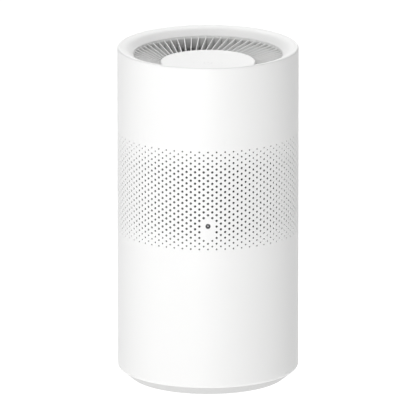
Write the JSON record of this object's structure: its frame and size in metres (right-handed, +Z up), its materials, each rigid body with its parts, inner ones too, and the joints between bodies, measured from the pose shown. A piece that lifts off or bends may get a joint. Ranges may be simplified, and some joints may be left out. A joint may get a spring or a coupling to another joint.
{
  "type": "air purifier",
  "caption": "Upright cylindrical room air purifier with a band of intake holes, a sunken ring of swirl blades round a dished touch disc, and a twist-off base cover under the filter.",
  "frame": {"origin": "on the floor, under the centre of the base", "axes": "+Z up along the axis of the body, front with the indicator towards -Y, mains inlet at the back towards +Y"},
  "size_m": [0.21, 0.21, 0.3939],
  "materials": {
    "white_plastic": "fine moulded satin",
    "disc_plastic": "smooth satin",
    "grille_plastic": "moulded",
    "base_plastic": "fine texture",
    "inner_plastic": "moulded",
    "dark_plastic": "moulded",
    "dark_lens": "polished",
    "clear_plastic": "polished",
    "foot_rubber": "matte",
    "gasket_foam": "open cell",
    "filter_paper": "fibrous",
    "filter_net": "fine net",
    "carbon": "granular",
    "screen_mesh": "fine black mesh",
    "ribbon": "woven",
    "circuit_board": "solder mask",
    "steel": "bright",
    "brass": "turned",
    "copper": "enamelled wire",
    "laminated_steel": "stacked sheets",
    "lead_sleeve": "smooth"
  },
  "bodies": {
    "housing": {"outer_shell": "white_plastic", "dust_screen": "screen_mesh", "outlet_funnel": "white_plastic", "outlet_grille": "grille_plastic", "control_disc": "disc_plastic", "control_pod": "inner_plastic", "touch_board": "circuit_board", "light_guide": "clear_plastic", "main_board": "circuit_board", "lock_ring": "inner_plastic", "fan_deck": "inner_plastic", "fan_duct": "inner_plastic", "motor_bridge": "inner_plastic", "duct_screw_1": "steel", "duct_screw_2": "steel", "duct_screw_3": "steel", "duct_screw_4": "steel", "motor_screw_1": "steel", "motor_screw_2": "steel", "motor_screw_3": "steel", "stator_core": "laminated_steel", "stator_windings": "copper", "motor_board": "circuit_board", "bearing_tube": "brass", "lower_bearing": "steel", "upper_bearing": "steel", "filter_pleats": "filter_paper", "filter_outer_net": "filter_net", "filter_carbon_core": "carbon", "filter_top_cap": "inner_plastic", "filter_bottom_cap": "inner_plastic", "filter_gasket": "gasket_foam", "pull_ribbon": "ribbon", "indicator_bezel": "dark_plastic", "indicator_lens": "dark_lens", "indicator_board": "circuit_board", "particle_sensor": "dark_plastic", "sensor_bracket": "inner_plastic", "mains_inlet": "dark_plastic", "power_board": "circuit_board", "power_cover": "dark_plastic", "power_lead": "lead_sleeve"},
    "fan_rotor": {"impeller": "dark_plastic", "rotor_can": "steel", "magnet_ring": "dark_plastic", "motor_shaft": "steel"},
    "base": {"base_cover": "base_plastic", "rubber_foot_1": "foot_rubber", "rubber_foot_2": "foot_rubber", "rubber_foot_3": "foot_rubber", "rubber_foot_4": "foot_rubber"}
  },
  "joints": [
    {"name": "fan_spin", "type": "hinge", "parent": "housing", "child": "fan_rotor", "pos_m": [0, 0, 0.338], "axis": [0, 0, 1], "continuous": true},
    {"name": "base_twist", "type": "hinge", "parent": "housing", "child": "base", "pos_m": [0, 0, 0.018], "axis": [0, 0, 1], "range_deg": [0, 24]}
  ]
}
